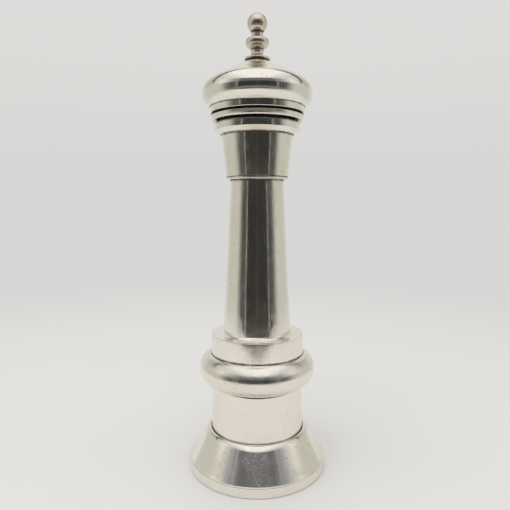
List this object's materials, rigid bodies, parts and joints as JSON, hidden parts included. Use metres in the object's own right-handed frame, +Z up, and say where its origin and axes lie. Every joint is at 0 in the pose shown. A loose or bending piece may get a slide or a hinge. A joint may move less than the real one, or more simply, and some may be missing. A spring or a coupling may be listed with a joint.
{
  "type": "pepper mill",
  "caption": "Tall silver-plated column-shaped pepper mill with domed turning head, finial knob, torus bead and flared foot.",
  "frame": {"origin": "centre of the foot's resting plane", "axes": "+Z up along the mill's axis, towards the finial knob; +X and +Y level, +X through the first drive pin"},
  "size_m": [0.084, 0.084, 0.2699],
  "materials": {
    "silver_plate": "mirror-polished silver plate on brass, finely scratched, with faint warm tarnish",
    "nylon_bush": "black nylon, smooth moulded",
    "housing_alloy": "dull cast alloy",
    "burr_steel": "hardened steel, dark, machined teeth",
    "steel_parts": "zinc-plated steel, satin",
    "brass_parts": "turned brass, dulled",
    "fibre_washer": "vulcanised fibre, matt"
  },
  "bodies": {
    "mill_body": {"foot_shell": "silver_plate", "drum_tube": "silver_plate", "torus_bead": "silver_plate", "step_ring": "silver_plate", "column_tube": "silver_plate", "column_fillet": "silver_plate", "capital_cup": "silver_plate", "collar_ring": "silver_plate", "mouth_bush": "nylon_bush", "grinder_housing": "housing_alloy", "stator_ring": "burr_steel", "stator_clamp": "steel_parts", "bridge_bar": "steel_parts", "thrust_washer": "brass_parts", "housing_screw_1": "steel_parts", "housing_screw_2": "steel_parts", "housing_screw_3": "steel_parts", "clamp_screw_1": "steel_parts", "clamp_screw_2": "steel_parts", "clamp_screw_3": "steel_parts", "bridge_screw_1": "steel_parts", "bridge_screw_2": "steel_parts"},
    "drive_head": {"drive_plate": "silver_plate", "spigot_ring": "brass_parts", "drive_bush": "brass_parts", "plate_screw_1": "steel_parts", "plate_screw_2": "steel_parts", "plate_screw_3": "steel_parts", "drive_pin_1": "steel_parts", "drive_pin_2": "steel_parts"},
    "grinder": {"spindle": "steel_parts", "rotor_burr": "burr_steel", "tail_washer": "steel_parts", "tail_nut": "brass_parts", "grinder_spring": "steel_parts"},
    "dome": {"dome_shell": "silver_plate", "dome_liner": "brass_parts", "crown_bush": "brass_parts"},
    "knob": {"finial_knob": "silver_plate", "knob_washer": "fibre_washer"}
  },
  "joints": [
    {"name": "head_turn", "type": "hinge", "parent": "mill_body", "child": "drive_head", "pos_m": [0, 0, 0.2086], "axis": [0, 0, 1], "continuous": true},
    {"name": "grind_adjust", "type": "slide", "parent": "drive_head", "child": "grinder", "axis": [0, 0, 1], "range_m": [-0.0014, 0.0007], "deforming": ["grinder_spring"]},
    {"name": "dome_lift", "type": "slide", "parent": "drive_head", "child": "dome", "axis": [0, 0, 1], "range_m": [0, 0.05]},
    {"name": "knob_turn", "type": "hinge", "parent": "dome", "child": "knob", "pos_m": [0, 0, 0.2431], "axis": [0, 0, 1], "range_deg": [-361, 721]}
  ],
  "couplings": [
    {"joint": "knob_turn", "follows": "grind_adjust", "rad_per_m": -8976}
  ]
}
